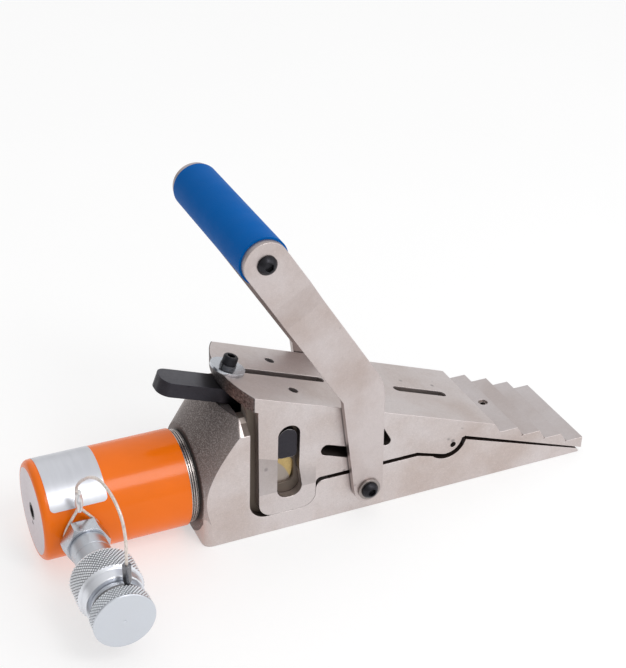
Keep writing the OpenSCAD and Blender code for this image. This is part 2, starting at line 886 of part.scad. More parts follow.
// the strip that an arm is bent from, seen from above its upper part
module arm_strip() {
  y0 = grip_l / 2;
  y1 = y0 - bend_drop;
  y2 = arm_low_y;
  polygon([
    [-20, y0], [bend_t[0], y0], [bend_t[1], y1], [bend_t[2], y2], [240, y2],
    [240, y2 + arm_t], [bend_t[2], y2 + arm_t], [bend_t[1], y1 + arm_t],
    [bend_t[0], y0 + arm_t], [-20, y0 + arm_t]
  ]);
}

module handle_arm() {
  from_rear() difference() {
    intersection() {
      slab(30, 80) arm_side();
      translate([grip_c[0], 0, grip_c[1]]) rotate([0, lean_back, 0])
        translate([0, 0, -100]) linear_extrude(200) arm_strip();
    }
    translate([grip_c[0], 0, grip_c[1]]) rotate([-90, 0, 0])
      cylinder(h = 80, d = screw_d + 0.2);
    translate([pivot[0], 0, pivot[1]]) rotate([-90, 0, 0])
      cylinder(h = 80, d = screw_d + 2 * run_gap);
  }
}

module handle_arm_left() {
  color(steel) handle_arm();
}

module handle_arm_right() {
  color(steel) mirror([0, 1, 0]) handle_arm();
}

module grip() {
  color(blue) from_rear() translate([grip_c[0], -grip_l / 2, grip_c[1]]) rotate([-90, 0, 0])
    ring(grip_d, 16, grip_l);
}

module grip_rod() {
  color(steel) from_rear() translate([grip_c[0], 0, grip_c[1]]) rotate([-90, 0, 0])
    difference() {
      translate([0, 0, -grip_l / 2]) cylinder(h = grip_l, d = 16);
      for (k = [0, 1]) mirror([0, 0, k]) translate([0, 0, grip_l / 2 - 22])
        cylinder(h = 30, d = screw_d);
    }
}

module grip_screws() {
  color(black) from_rear() both_sides()
    translate([grip_c[0], grip_l / 2 + arm_t, grip_c[1]]) rotate([-90, 0, 0])
      button_screw(screw_d, grip_head_d, grip_head_h, 25, 5);
}

module pivot_screws() {
  color(black) from_rear() both_sides()
    translate([pivot[0], arm_low_y + arm_t + pivot_washer_t + 0.1, pivot[1]])
      rotate([-90, 0, 0]) button_screw(screw_d, pivot_head_d, pivot_head_h, 20, 5);
}

module pivot_washers() {
  color(zinc) from_rear() both_sides()
    translate([pivot[0], arm_low_y + arm_t + 0.1, pivot[1]]) rotate([-90, 0, 0])
      ring(pivot_washer_d, screw_d, pivot_washer_t);
}

module friction_washers() {
  color(bronze) from_rear() both_sides()
    translate([pivot[0], half_w, pivot[1]]) rotate([-90, 0, 0])
      ring(friction_d, screw_d, arm_gap - 0.1);
}

lower_jaw();
upper_jaw();
wedge();
tongue_bar();
slide_pads();
guide_blocks();
lift_screw();
lift_washer();
lift_lock_washer();
tread_set_screw();
plate_set_screws();
nose_pins();
cylinder_barrel();
end_plug();
lock_ring();
jaw_gasket();
rod_gland();
rod_seal();
piston();
piston_seal();
piston_rod();
spring_guide();
return_spring();
coupler_adapter();
coupler_body();
coupler_collar();
dust_cap();
tether_wire();
tether_crimp();
tether_ferrule();
handle_arm_left();
handle_arm_right();
grip();
grip_rod();
grip_screws();
pivot_screws();
pivot_washers();
friction_washers();
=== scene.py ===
import json
import math
import bpy
import bmesh
from mathutils import Matrix, Vector


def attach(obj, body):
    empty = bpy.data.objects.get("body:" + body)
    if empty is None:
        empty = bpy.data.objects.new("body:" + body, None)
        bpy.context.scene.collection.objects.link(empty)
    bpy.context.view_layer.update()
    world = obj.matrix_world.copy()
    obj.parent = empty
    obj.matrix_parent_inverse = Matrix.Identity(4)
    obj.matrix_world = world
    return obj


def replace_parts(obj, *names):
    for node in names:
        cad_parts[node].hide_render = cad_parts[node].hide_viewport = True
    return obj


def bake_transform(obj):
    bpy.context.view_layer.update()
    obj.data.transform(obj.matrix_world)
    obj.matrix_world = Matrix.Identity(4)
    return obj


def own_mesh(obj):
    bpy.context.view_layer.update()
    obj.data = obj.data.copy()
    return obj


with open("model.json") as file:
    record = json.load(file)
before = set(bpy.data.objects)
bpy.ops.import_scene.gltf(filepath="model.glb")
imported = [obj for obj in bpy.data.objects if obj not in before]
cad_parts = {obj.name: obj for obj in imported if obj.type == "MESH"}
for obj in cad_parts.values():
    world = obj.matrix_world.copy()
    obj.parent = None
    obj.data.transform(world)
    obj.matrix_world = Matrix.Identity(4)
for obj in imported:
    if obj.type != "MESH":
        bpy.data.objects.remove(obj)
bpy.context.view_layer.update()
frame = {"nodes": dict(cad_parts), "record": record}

nodes = frame["nodes"]
scene = bpy.context.scene

# Sizes

# Forms and routes are in millimetres, turned into metres by at() and station().
# Stations s are counted from the lower jaw's rear face towards the tips.
MM = 0.001
HALF_JAW = 147.5
JAW_SIDE = 38.0
AXIS_Z = 35.1
COUPLER_S = -81.4
LIFT_S = 31.0
PLATE_H = 109.6
TAB_S = 37.6
SLOPE = math.radians(20)

AHEAD = Vector((1, 0, 0))
LEFT = Vector((0, 1, 0))
RIGHT = Vector((0, -1, 0))
UP = Vector((0, 0, 1))


def at(s, y, z):
    """A station, Y and Z in millimetres as a point of the row's frame in metres."""
    return Vector((s - HALF_JAW, y, z)) * MM


def station(s):
    """X in metres at a station in millimetres."""
    return (s - HALF_JAW) * MM


def plate_z(s):
    """Height of the plate's top at a station."""
    return PLATE_H - math.tan(SLOPE) * (s - TAB_S)


# Camera

AZIMUTH = math.radians(-25.39)
ELEVATION = math.radians(30.80)
ROLL = math.radians(1.84)
EYE = (-0.4056, -0.7324, 0.6068)
LENS = 76.55
SENSOR = 36
SHIFT = (0.0063, 0.0035)


def make_camera():
    back = Vector((
        math.sin(AZIMUTH) * math.cos(ELEVATION),
        -math.cos(AZIMUTH) * math.cos(ELEVATION),
        math.sin(ELEVATION),
    ))
    level = Vector((math.cos(AZIMUTH), math.sin(AZIMUTH), 0))
    over = back.cross(level)
    right = level * math.cos(ROLL) + over * math.sin(ROLL)
    up = over * math.cos(ROLL) - level * math.sin(ROLL)
    data = bpy.data.cameras.new("camera")
    data.lens = LENS
    data.sensor_width = SENSOR
    data.shift_x, data.shift_y = SHIFT
    camera = bpy.data.objects.new("camera", data)
    scene.collection.objects.link(camera)
    turn = Matrix((right, up, back)).transposed()
    camera.matrix_world = Matrix.Translation(EYE) @ turn.to_4x4()
    scene.camera = camera


make_camera()

# Mesh helpers


def add_piece(name, verts, faces, material, body, slot, sharp=30):
    """A mesh object in metres that rides on a body. Edges over the sharp angle stay crisp.

    The wire is given no body here."""
    mesh = bpy.data.meshes.new(name)
    mesh.from_pydata([tuple(v) for v in verts], [], faces)
    work = bmesh.new()
    work.from_mesh(mesh)
    bmesh.ops.recalc_face_normals(work, faces=work.faces)
    work.to_mesh(mesh)
    work.free()
    mesh.shade_smooth()
    mesh.set_sharp_from_angle(angle=math.radians(sharp))
    mesh.materials.append(material)
    piece = bpy.data.objects.new(name, mesh)
    scene.collection.objects.link(piece)
    if body:
        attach(piece, body)
    return piece


class Turned:
    """Faces of a turned form, built ring by ring along an axis.

    A row is (place, radius, cut, kind). The radius is a number or a function of
    angle and place. The cut is the depth of the knurl, and the kind is diamond,
    flutes or plain."""

    def __init__(self, origin, along, across, n):
        self.origin = origin
        self.w = along.normalized()
        self.u = across.normalized()
        self.v = self.w.cross(self.u)
        self.n = n
        self.rows = []
        self.verts = []
        self.faces = []

    def plain(self, *pairs):
        for place, radius in pairs:
            self.rows.append((place, radius, 0, "plain"))

    def knurl(self, start, end, r0, r1, count, cut, kind="diamond"):
        for j in range(count + 1):
            t = j / count
            self.rows.append((start + (end - start) * t, r0 + (r1 - r0) * t, cut, kind))

    def build(self, closed=False):
        """Verts and faces. A closed form joins its last row to its first."""
        rings = []
        for j, (place, radius, cut, kind) in enumerate(self.rows):
            centre = self.origin + self.w * (place * MM)
            if radius == 0:
                rings.append([len(self.verts)] * self.n)
                self.verts.append(centre)
                continue
            ring = []
            for i in range(self.n):
                angle = math.tau * i / self.n
                r = radius(angle, place) if callable(radius) else radius
                if kind == "diamond" and (i + j) % 2 == 0:
                    r -= cut
                if kind == "flutes" and i % 2 == 0:
                    r -= cut
                ring.append(len(self.verts))
                out = self.u * math.cos(angle) + self.v * math.sin(angle)
                self.verts.append(centre + out * (r * MM))
            rings.append(ring)
        for j in range(len(rings) if closed else len(rings) - 1):
            self.bridge(rings, j)
        return self.verts, self.faces

    def bridge(self, rings, j):
        """Faces from ring j to the next one. A diamond's faces fold along its ridges."""
        k = (j + 1) % len(rings)
        diamonds = self.rows[j][3] == "diamond" and self.rows[k][3] == "diamond"
        for i in range(self.n):
            h = (i + 1) % self.n
            a, b, c, d = rings[j][i], rings[j][h], rings[k][h], rings[k][i]
            if diamonds and (i + j) % 2 == 0:
                self.faces += [(a, b, c), (a, c, d)]
            elif diamonds:
                self.faces += [(a, b, d), (b, c, d)]
            else:
                corners = tuple(dict.fromkeys((a, b, c, d)))
                if len(corners) > 2:
                    self.faces.append(corners)


def joined(*forms):
    """Verts and faces of several forms as those of one."""
    verts, faces = [], []
    for points, corners in forms:
        shift = len(verts)
        verts += points
        faces += [tuple(k + shift for k in face) for face in corners]
    return verts, faces


def hex_radius(across_flats):
    """Radius of a hexagon at an angle, for sockets."""
    def radius(angle, place):
        turn = (angle + math.pi / 6) % (math.pi / 3) - math.pi / 6
        return across_flats / 2 / math.cos(turn)
    return radius


def tube(path, radius, sides):
    """Verts and faces of a round tube along points, with closed ends."""
    verts, faces = [], []
    side = None
    for i, point in enumerate(path):
        ahead = (path[min(i + 1, len(path) - 1)] - path[max(i - 1, 0)]).normalized()
        if side is None:
            side = ahead.orthogonal().normalized()
        side = (side - ahead * side.dot(ahead)).normalized()
        other = ahead.cross(side)
        for k in range(sides):
            turn = math.tau * k / sides
            verts.append(point + (side * math.cos(turn) + other * math.sin(turn)) * radius)
    for i in range(len(path) - 1):
        for k in range(sides):
            h = (k + 1) % sides
            a, b = i * sides, (i + 1) * sides
            faces.append((a + k, a + h, b + h, b + k))
    faces.append(tuple(range(sides)))
    faces.append(tuple(range(len(verts) - sides, len(verts))))
    return verts, faces


def smooth_path(points, samples):
    """Catmull-Rom curve through the points."""
    p = [points[0]] + points + [points[-1]]
    path = []
    for i in range(1, len(p) - 2):
        for k in range(samples):
            t = k / samples
            path.append((
                p[i] * 2 + (p[i + 1] - p[i - 1]) * t
                + (p[i - 1] * 2 - p[i] * 5 + p[i + 1] * 4 - p[i + 2]) * t * t
                + (p[i] * 3 - p[i - 1] - p[i + 1] * 3 + p[i + 2]) * t * t * t
            ) / 2)
    path.append(points[-1])
    return path


# Node helpers

RANGE_KEYS = ("From Min", "From Max", "To Min", "To Max")
BEVEL_SAMPLES = 4
# Cosines of the turn from a face to its bevel where an edge begins and is full
EDGE_TURN = (0.99, 0.85)


class Shader:
    """A Principled material with short calls for its nodes. Lengths are in metres."""

    def __init__(self, name, base, rough, metal=0.0, **sockets):
        self.mat = bpy.data.materials.new(name)
        self.mat.use_nodes = True
        self.tree = self.mat.node_tree
        self.bsdf = self.tree.nodes["Principled BSDF"]
        self.set("Base Color", (*base, 1))
        self.set("Roughness", rough)
        self.set("Metallic", metal)
        for key, value in sockets.items():
            self.set(key.replace("_", " ").title(), value)
        self.coords = self.tree.nodes.new("ShaderNodeTexCoord").outputs["Object"]
        self.x, self.y, self.z = self.split(self.coords)

    def set(self, socket, value):
        self.bsdf.inputs[socket].default_value = value

    def link(self, a, b):
        self.tree.links.new(a, b)

    def wire(self, socket, value):
        self.link(value, self.bsdf.inputs[socket])

    def split(self, vector):
        node = self.tree.nodes.new("ShaderNodeSeparateXYZ")
        self.link(vector, node.inputs["Vector"])
        return node.outputs["X"], node.outputs["Y"], node.outputs["Z"]

    def noise(self, scale, detail=3, rough=0.5, stretch=None):
        node = self.tree.nodes.new("ShaderNodeTexNoise")
        node.inputs["Scale"].default_value = scale
        node.inputs["Detail"].default_value = detail
        node.inputs["Roughness"].default_value = rough
        vector = self.coords
        if stretch:
            mapping = self.tree.nodes.new("ShaderNodeMapping")
            mapping.inputs["Scale"].default_value = stretch
            self.link(vector, mapping.inputs["Vector"])
            vector = mapping.outputs["Vector"]
        self.link(vector, node.inputs["Vector"])
        return node.outputs["Fac"]

    def cells(self, scale):
        node = self.tree.nodes.new("ShaderNodeTexVoronoi")
        node.inputs["Scale"].default_value = scale
        self.link(self.coords, node.inputs["Vector"])
        return node.outputs["Distance"]

    def remap(self, value, low, high, to_low=0.0, to_high=1.0):
        node = self.tree.nodes.new("ShaderNodeMapRange")
        for key, number in zip(RANGE_KEYS, (low, high, to_low, to_high)):
            node.inputs[key].default_value = number
        self.link(value, node.inputs["Value"])
        return node.outputs["Result"]

    def uneven(self, scale, detail, low, high):
        """A number that wanders between two values."""
        return self.remap(self.noise(scale, detail), 0.3, 0.7, low, high)

    def math(self, kind, a, b=None):
        node = self.tree.nodes.new("ShaderNodeMath")
        node.operation = kind
        for i, value in enumerate((a, b)):
            if value is None:
                continue
            if isinstance(value, (int, float)):
                node.inputs[i].default_value = value
            else:
                self.link(value, node.inputs[i])
        return node.outputs["Value"]

    def plus(self, a, b):
        return self.math("ADD", a, b)

    def minus(self, a, b):
        return self.math("SUBTRACT", a, b)

    def times(self, a, b):
        return self.math("MULTIPLY", a, b)

    def above(self, a, b):
        return self.math("GREATER_THAN", a, b)

    def below(self, a, b):
        return self.math("LESS_THAN", a, b)

    def within(self, value, low, high):
        return self.times(self.above(value, low), self.below(value, high))

    def all_of(self, *masks):
        product = masks[0]
        for mask in masks[1:]:
            product = self.times(product, mask)
        return product

    def mix(self, factor, a, b):
        node = self.tree.nodes.new("ShaderNodeMix")
        node.data_type = "RGBA"
        for i, value in ((0, factor), (6, a), (7, b)):
            if isinstance(value, tuple):
                node.inputs[i].default_value = (*value, 1)
            elif isinstance(value, (int, float)):
                node.inputs[i].default_value = value
            else:
                self.link(value, node.inputs[i])
        return node.outputs[2]

    def radius(self, a, a0, b, b0):
        """Distance from a point in the plane of two coordinates."""
        da = self.minus(a, a0)
        db = self.minus(b, b0)
        return self.math("SQRT", self.plus(self.times(da, da), self.times(db, db)))

    def facing(self):
        """X, Y and Z of the direction that a face looks in."""
        return self.split(self.tree.nodes.new("ShaderNodeNewGeometry").outputs["Normal"])

    def bevel(self, reach):
        node = self.tree.nodes.new("ShaderNodeBevel")
        node.samples = BEVEL_SAMPLES
        node.inputs["Radius"].default_value = reach
        return node.outputs["Normal"]

    def edges(self, reach):
        """1 on outer edges, 0 on flat faces."""
        plain = self.tree.nodes.new("ShaderNodeNewGeometry")
        dot = self.tree.nodes.new("ShaderNodeVectorMath")
        dot.operation = "DOT_PRODUCT"
        self.link(self.bevel(reach), dot.inputs[0])
        self.link(plain.outputs["Normal"], dot.inputs[1])
        return self.remap(dot.outputs["Value"], *EDGE_TURN)

    def bump(self, height, strength, distance, rounded=0.0):
        node = self.tree.nodes.new("ShaderNodeBump")
        node.inputs["Strength"].default_value = strength
        node.inputs["Distance"].default_value = distance
        self.link(height, node.inputs["Height"])
        if rounded:
            self.link(self.bevel(rounded), node.inputs["Normal"])
        self.link(node.outputs["Normal"], self.bsdf.inputs["Normal"])


def scaled(base, k):
    return tuple(min(1.0, c * k) for c in base)


# Materials

WARM_STEEL = (0.635, 0.58, 0.572)
# Brown of the painted shade on the lower jaw's rear face and on the top of its cone
SHADE_BROWN = (0.135, 0.112, 0.105)
DARK_OXIDE = (0.048, 0.046, 0.055)

# How much of each channel the clouds take away, for brown
BROWNING = (1.0, 1.35, 1.6)
# Scales of the noises in steel
CLOUD_SCALE = 16
GRAIN_SCALE = 420
SPECK_SCALE = 1300
PIT_SCALE = 75
PIT_PATCH_SCALE = 45


class Steel(Shader):
    """Satin steel with brownish clouds, ground grain, small pits and painted highlights on its
    edges.

    cloud, grain and edge are the strengths of the clouds, of the grain with its
    specks, and of the painted edge highlights, and reach is the edges' width."""

    def __init__(self, name, base=WARM_STEEL, rough=0.42, cloud=0.16, grain=0.12, edge=0.5,
                 reach=0.0007):
        super().__init__(name, base, rough, metal=1.0)
        broad = self.noise(CLOUD_SCALE, 4, 0.6)
        fine = self.noise(GRAIN_SCALE, 3, 0.6)
        brown = tuple(c * (1 - k * cloud) for c, k in zip(base, BROWNING))
        color = self.mix(self.remap(broad, 0.40, 0.66), base, brown)
        color = self.mix(self.remap(fine, 0.30, 0.75, 0, grain), color, scaled(base, 0.62))
        speck = self.noise(SPECK_SCALE, 2, 0.7)
        color = self.mix(self.remap(speck, 0.52, 0.72, 0, 2 * grain), color, scaled(base, 0.6))
        color = self.mix(self.remap(speck, 0.46, 0.28, 0, 2 * grain), color, scaled(base, 1.3))
        pits = self.remap(self.cells(PIT_SCALE), 0.14, 0.06)
        patches = self.remap(self.noise(PIT_PATCH_SCALE, 1), 0.60, 0.64)
        pits = self.times(pits, patches)
        color = self.mix(self.times(pits, 0.7), color, scaled(base, 0.35))
        # Painted highlight: the edges are made lighter, standing in for the light they catch
        self.color = self.mix(self.times(self.edges(reach), edge), color, scaled(base, 1.35))
        mottle = self.plus(broad, fine)
        self.rough = self.remap(mottle, 0.7, 1.3, rough - 0.06, rough + 0.08)
        self.height = self.minus(self.times(fine, 0.6), pits)
        self.rounded = reach

    def tint(self, mask, color, rough=None, amount=1.0):
        """Paints a masked place with another colour, and roughness if one is given."""
        if amount < 1:
            mask = self.times(mask, amount)
        self.color = self.mix(mask, self.color, color)
        if rough is not None:
            blend = self.tree.nodes.new("ShaderNodeMix")
            self.link(mask, blend.inputs[0])
            self.link(self.rough, blend.inputs[2])
            blend.inputs[3].default_value = rough
            self.rough = blend.outputs[0]

    def side(self):
        """Distance from the centre plane."""
        return self.math("ABSOLUTE", self.y)

    def on_jaw(self, side, near, far, low, high):
        """A mask for the same block on both sides: side is its range of distances
        from the centre plane, the rest are stations and heights, in millimetres."""
        return self.all_of(self.within(self.side(), side[0] * MM, side[1] * MM),
                           self.within(self.x, station(near), station(far)),
                           self.within(self.z, low * MM, high * MM))

    def done(self, strength=0.12, distance=0.0002):
        self.wire("Base Color", self.color)
        self.wire("Roughness", self.rough)
        self.bump(self.height, strength, distance, self.rounded)
        return self.mat


def plain_steel(name, base, bump=0.12, **looks):
    return Steel(name, base, **looks).done(bump)


# Ends of a range that nothing on the part reaches, in millimetres
INNERMOST = -1000
TOPMOST = 200

# The lower jaw: its cone, the pocket of a tab and the slope under the upper jaw
CONE_R = 36
CONE_END_S = 32.2
CONE_SKIN = 0.0008
REAR_R = 38.5
POCKET_S = (28, 82)
POCKET_Z = 13.2
POCKET_Y = 31.6
SLOPE_S = (90, 294)


def lower_jaw_steel():
    """Turned grit on the cone, with painted shade on the cone's top, the rear face, the
    pockets and the seam.
    """
    m = Steel("lower_jaw_steel", scaled(WARM_STEEL, 1.05))
    side = m.side()
    out = m.radius(m.y, 0.0, m.z, AXIS_Z * MM)
    from_cone = m.minus(out, m.plus(m.x, CONE_R * MM - station(0)))
    cone = m.all_of(m.within(from_cone, -CONE_SKIN, CONE_SKIN),
                    m.below(m.x, station(CONE_END_S)),
                    m.below(side, (JAW_SIDE - 0.1) * MM))
    grit = m.noise(1150, 2, 0.7)
    rear = m.all_of(m.below(m.x, station(0.5)), m.below(out, REAR_R * MM))
    # Painted shade on the rear face
    m.tint(rear, SHADE_BROWN, 0.55, 0.85)
    # Painted shade over the cone, strongest high up and towards the rear
    crown = m.minus(m.minus(m.z, side), m.plus(m.x, -station(0)))
    m.tint(m.times(cone, m.remap(crown, -0.030, 0.044, 0.20, 0.90)), SHADE_BROWN, 0.55)
    m.tint(m.times(cone, m.remap(grit, 0.48, 0.62, 0, 0.42)), (0.62, 0.56, 0.54), 0.4)
    # Painted shade on the pocket's walls beside the tab
    slit = m.on_jaw((POCKET_Y, JAW_SIDE - 0.25), *POCKET_S, POCKET_Z, TOPMOST)
    m.tint(slit, (0.07, 0.052, 0.04), 0.6, 0.88)
    # Painted shade on the pocket's inner wall, seen through the window
    wall = m.on_jaw((INNERMOST, POCKET_Y + 0.2), *POCKET_S, POCKET_Z, TOPMOST)
    m.tint(wall, (0.17, 0.14, 0.115), 0.6, 0.75)
    # Painted shade on the slope under the upper jaw, dark along the seam between the jaws
    seam = m.times(m.above(m.facing()[2], 0.5), m.within(m.x, *map(station, SLOPE_S)))
    m.tint(seam, (0.065, 0.036, 0.028), 0.6, 0.92)
    m.height = m.plus(m.height, m.times(m.times(cone, grit), 2.2))
    return m.done(0.30, 0.00025)


# The upper jaw: the plate's round rear edge, the tabs with their windows, the holes
# in the sides at their depth below the plate's top, the steps' treads and the slots
REAR_ARC_X = -0.053
REAR_ARC_R = (70.5, 71.5)
PLATE_REAR_Z = 88
TAB_BAND_S = (30, 80)
TAB_BAND_Z = 63
TAB_FOOT_Z = 32
SIDE_HOLE_S = (74, 200)
SIDE_HOLE_DROP = 11.5
WINDOW_Y = 31.8
WINDOW_S = (50, 71)
WINDOW_Z = (45, 86)
TREADS_S = 212
PLATE_SLOTS_S = (25, 206)
SLOT_HALF_W = 3.48


def upper_jaw_steel():
    """Sawn black at the rear, duller with a painted dark reflection on the tabs, painted shade
    in holes, slots and windows.
    """
    m = Steel("upper_jaw_steel", edge=0.8)
    side = m.side()
    fall = math.tan(SLOPE)
    line = m.plus(m.z, m.times(m.x, fall))
    top_line = plate_z(0) * MM + fall * station(0)
    arc = m.radius(m.x, REAR_ARC_X, m.y, 0.0)
    sawn = m.times(m.within(arc, REAR_ARC_R[0] * MM, REAR_ARC_R[1] * MM),
                   m.above(m.z, PLATE_REAR_Z * MM))
    coarse = m.remap(m.noise(620, 3, 0.6), 0.35, 0.7, 0.95, 0.6)
    m.tint(m.times(sawn, coarse), (0.045, 0.036, 0.034), 0.6)
    # Painted reflection: a darker, duller band across the tabs
    tab_line = TAB_BAND_Z * MM + fall * station(38)
    band = m.all_of(m.above(side, (JAW_SIDE - 0.15) * MM),
                    m.within(m.x, *map(station, TAB_BAND_S)),
                    m.above(m.z, TAB_FOOT_Z * MM), m.below(line, tab_line))
    soft = m.remap(line, tab_line, tab_line - 0.012)
    band = m.times(band, m.math("MAXIMUM", soft, m.below(m.x, station(60))))
    m.tint(m.times(band, m.remap(line, tab_line - 0.030, tab_line, 0.34, 0.52)),
           (0.30, 0.27, 0.265), 0.45)
    # Painted shade in the holes in the sides
    holes = m.all_of(m.below(side, (JAW_SIDE - 0.3) * MM),
                     m.within(m.x, *map(station, SIDE_HOLE_S)),
                     m.below(line, top_line - SIDE_HOLE_DROP * MM))
    m.tint(holes, (0.10, 0.08, 0.067), 0.6, 0.85)
    # Painted shade inside the tabs' windows
    window = m.on_jaw((WINDOW_Y, JAW_SIDE - 0.25), *WINDOW_S, *WINDOW_Z)
    m.tint(window, (0.07, 0.06, 0.055), 0.5, 0.75)
    treads = m.times(m.above(m.facing()[2], 0.98), m.above(m.x, station(TREADS_S)))
    m.tint(treads, (0.40, 0.385, 0.40), 0.5, 0.35)
    # Painted shade in the plate's slots
    slots = m.all_of(m.below(side, SLOT_HALF_W * MM),
                     m.within(m.x, *map(station, PLATE_SLOTS_S)),
                     m.below(line, top_line - 0.0012))
    m.tint(slots, (0.20, 0.165, 0.15), 0.6, 0.85)
    return m.done(0.22, 0.0002)


def arm_steel():
    """The arms are ground, with a warm bloom, and painted shade on the inner and narrow faces.
    """
    m = Steel("arm_steel", (0.60, 0.54, 0.532), rough=0.38, grain=0.10, edge=0.6)
    across = m.facing()[1]
    # Painted shade on the narrow faces
    narrow = m.below(m.math("ABSOLUTE", across), 0.4)
    m.tint(narrow, (0.20, 0.155, 0.14), 0.5, 0.25)
    # Painted shade on the inner faces
    inner = m.below(m.times(m.math("SIGN", m.y), across), -0.6)
    m.tint(inner, (0.16, 0.12, 0.11), 0.5, 0.7)
    return m.done(0.12)


def paint(name, base, rough, peel_size, strength, **sockets):
    """Paint or coloured plastic with soft clouds, painted highlights on its edges and a fine
    peel.
    """
    m = Shader(name, base, rough, **sockets)
    m.set("Specular IOR Level", 0.04)
    cloud = m.remap(m.noise(28, 3), 0.35, 0.7)
    color = m.mix(cloud, scaled(base, 0.93), base)
    # Painted highlight: paler edges
    edge_highlight = m.times(m.edges(0.0008), 0.22)
    m.wire("Base Color", m.mix(edge_highlight, color, scaled(base, 1.3)))
    m.wire("Roughness", m.uneven(70, 4, rough - 0.04, rough + 0.06))
    m.bump(m.noise(peel_size, 2, 0.5), strength, 0.0002, 0.0006)
    return m.mat


def oxide(name):
    return Steel(name, DARK_OXIDE, rough=0.40, cloud=0.2, grain=0.2, edge=0.7)


def wedge_oxide():
    """Blackened steel, with a painted blue-grey sheen on its upper faces."""
    m = oxide("dark_steel")
    # Painted sheen: upper faces lighter and bluer
    m.tint(m.remap(m.facing()[2], 0.7, 0.9), (0.088, 0.087, 0.10))
    return m.done(0.10)


def block_steel():
    """The guide blocks are dark, with painted highlights on their edges."""
    m = oxide("block_steel")
    # Painted highlight on the edges
    m.tint(m.edges(0.0006), (0.42, 0.40, 0.40), amount=0.8)
    return m.done(0.10)


PAD_FOOT = (37, 28.3)
PAD_FOOT_R = (28.6, 27.8)
PAD_EDGE = (64.3, 36.9)
PAD_LEAN = 0.25


def pad_bronze():
    """Bronze with a worn grey foot, and painted shade on its front part behind a slanting
    edge.
    """
    m = Steel("bronze", (0.58, 0.44, 0.20), rough=0.36, cloud=0.2, grain=0.2, edge=0.3)
    foot = m.remap(m.radius(m.x, station(PAD_FOOT[0]), m.z, PAD_FOOT[1] * MM),
                   PAD_FOOT_R[0] * MM, PAD_FOOT_R[1] * MM)
    m.tint(foot, (0.36, 0.32, 0.30), 0.45, 0.9)
    # Painted shade on the front part, beyond a slanting edge
    ahead = m.minus(m.x, m.times(m.z, PAD_LEAN))
    edge = station(PAD_EDGE[0]) - PAD_LEAN * PAD_EDGE[1] * MM
    m.tint(m.remap(ahead, edge, edge + 0.0005, 0, 0.9), (0.075, 0.052, 0.032), 0.6)
    return m.done(0.15)


def label_foil():
    """Bare silver foil with fine rolling lines."""
    m = Shader("label_foil", (0.60, 0.61, 0.65), 0.30, metal=0.85)
    lines = m.noise(40, 2, 0.5, (6, 1, 1))
    m.wire("Base Color",
           m.mix(m.remap(lines, 0.3, 0.7), (0.57, 0.58, 0.62), (0.61, 0.62, 0.66)))
    m.wire("Roughness", m.uneven(40, 3, 0.30, 0.42))
    m.bump(lines, 0.012, 0.0001)
    return m.mat


def coated_wire():
    """Twisted strands under a clear pale coat."""
    m = Shader("tether_steel", (0.62, 0.58, 0.54), 0.32, metal=0.35,
               coat_weight=0.6, coat_roughness=0.15)
    strands = m.noise(900, 2, 0.5, (1, 1, 0.5))
    m.wire("Base Color",
           m.mix(m.remap(strands, 0.35, 0.65), (0.57, 0.50, 0.45), (0.77, 0.70, 0.65)))
    m.wire("Roughness", m.uneven(300, 2, 0.26, 0.42))
    m.bump(strands, 0.3, 0.0002)
    return m.mat


def rubber():
    m = Shader("seal_rubber", (0.018, 0.017, 0.017), 0.62)
    m.wire("Base Color", m.mix(m.noise(60, 3), (0.014, 0.013, 0.013), (0.026, 0.024, 0.023)))
    m.wire("Roughness", m.uneven(200, 3, 0.55, 0.72))
    m.bump(m.noise(800, 2), 0.15, 0.0001)
    return m.mat


MATERIALS = {
    "jaw_steel": arm_steel(),
    "bright_steel": plain_steel("bright_steel", (0.64, 0.64, 0.64), 0.06,
                                rough=0.24, cloud=0.04),
    "dark_steel": wedge_oxide(),
    "black_screw": plain_steel("black_screw", (0.035, 0.035, 0.04), 0.1,
                               rough=0.36, cloud=0.1, grain=0.2, edge=0.25),
    "zinc": plain_steel("zinc", (0.54, 0.565, 0.61), 0.025,
                        rough=0.22, cloud=0.04, grain=0.05),
    "bronze": pad_bronze(),
    "orange_paint": paint("orange_paint", (0.87, 0.165, 0.004), 0.36, 420, 0.03,
                          coat_weight=0.48, coat_roughness=0.17),
    "blue_grip": paint("blue_grip", (0.0002, 0.103, 0.385), 0.50, 1100, 0.35),
    "seal_rubber": rubber(),
    "tether_steel": coated_wire(),
}

for part in frame["record"]["subparts"]:
    node = nodes[part["node"]]
    node.data.materials.clear()
    node.data.materials.append(MATERIALS[part["material_slot"]])

# Nodes that look different from the rest of their slot
OWN_FINISHES = {
    "lower_jaw": lower_jaw_steel(),
    "upper_jaw": upper_jaw_steel(),
    "guide_blocks": block_steel(),
    "tread_set_screw": plain_steel("set_screw_steel", (0.26, 0.23, 0.22), rough=0.4),
    "lift_lock_washer": plain_steel("lock_washer_steel", (0.16, 0.16, 0.17), rough=0.35),
    "pivot_washers": plain_steel("washer_steel", (0.34, 0.31, 0.30), rough=0.3),
    "nose_pins": plain_steel("nose_pin_steel", (0.10, 0.09, 0.085), rough=0.5),
    "spring_guide": plain_steel("guide_steel", (0.07, 0.065, 0.07), rough=0.4),
    "end_plug": plain_steel("plug_steel", (0.58, 0.53, 0.56), 0.06,
                            rough=0.36, cloud=0.03, grain=0.08, edge=0.3),
}

for name, material in OWN_FINISHES.items():
    nodes[name].data.materials[0] = material

# Tether wire with its crimp and ferrule

